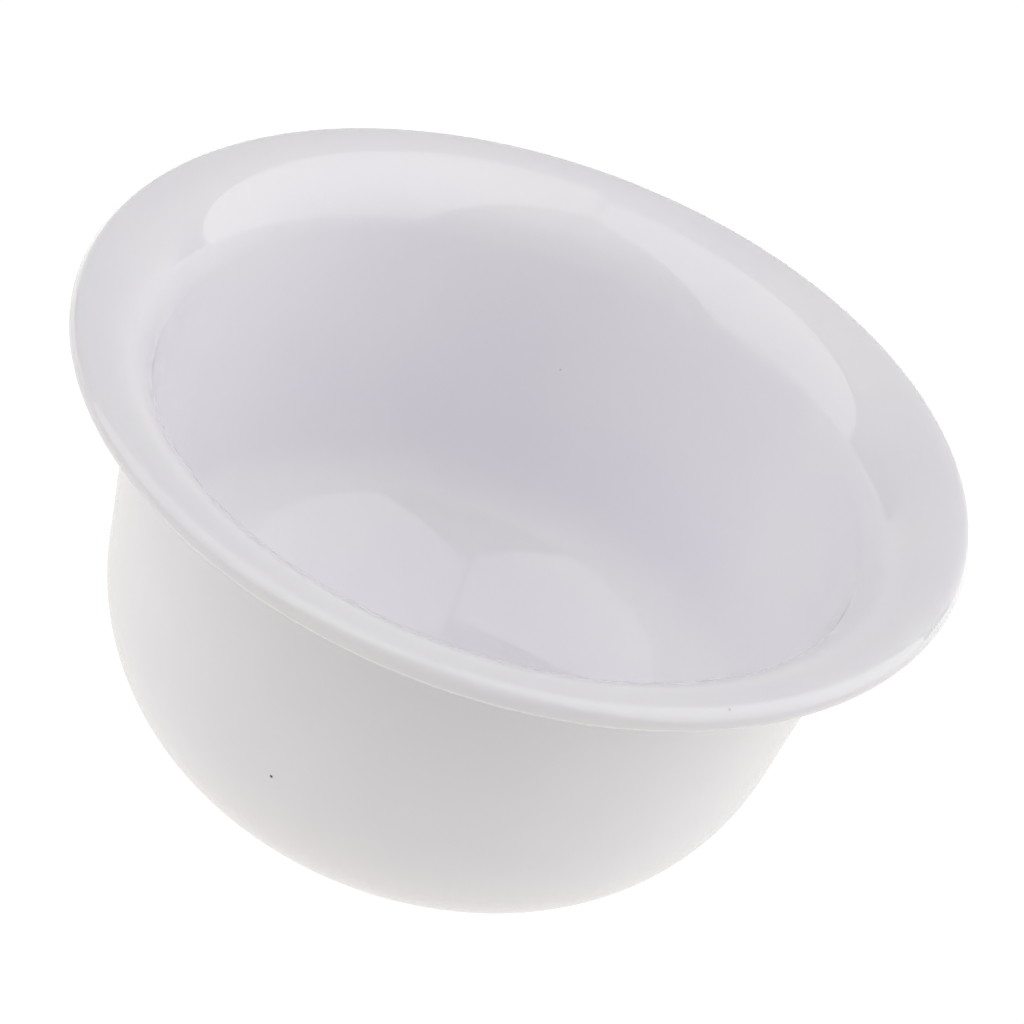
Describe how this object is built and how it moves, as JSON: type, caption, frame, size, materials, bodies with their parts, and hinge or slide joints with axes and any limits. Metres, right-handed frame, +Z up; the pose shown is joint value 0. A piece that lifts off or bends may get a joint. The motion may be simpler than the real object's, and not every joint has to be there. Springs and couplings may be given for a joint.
{
  "type": "shaving bowl",
  "caption": "Deep round-bottomed shaving bowl with a wide dished flange and a rolled lip, moulded whole in glossy white plastic.",
  "frame": {"origin": "centre of the flat under the bowl that it stands on", "axes": "+Z up along the bowl's axis, from the standing flat to the mouth; the bowl is turned, so X and Y are free"},
  "size_m": [0.095, 0.095, 0.0498],
  "materials": {
    "white_moulding": "high gloss from a polished mould, faintly cool white"
  },
  "bodies": {
    "root": {"bowl_shell": "white_moulding"}
  },
  "joints": []
}
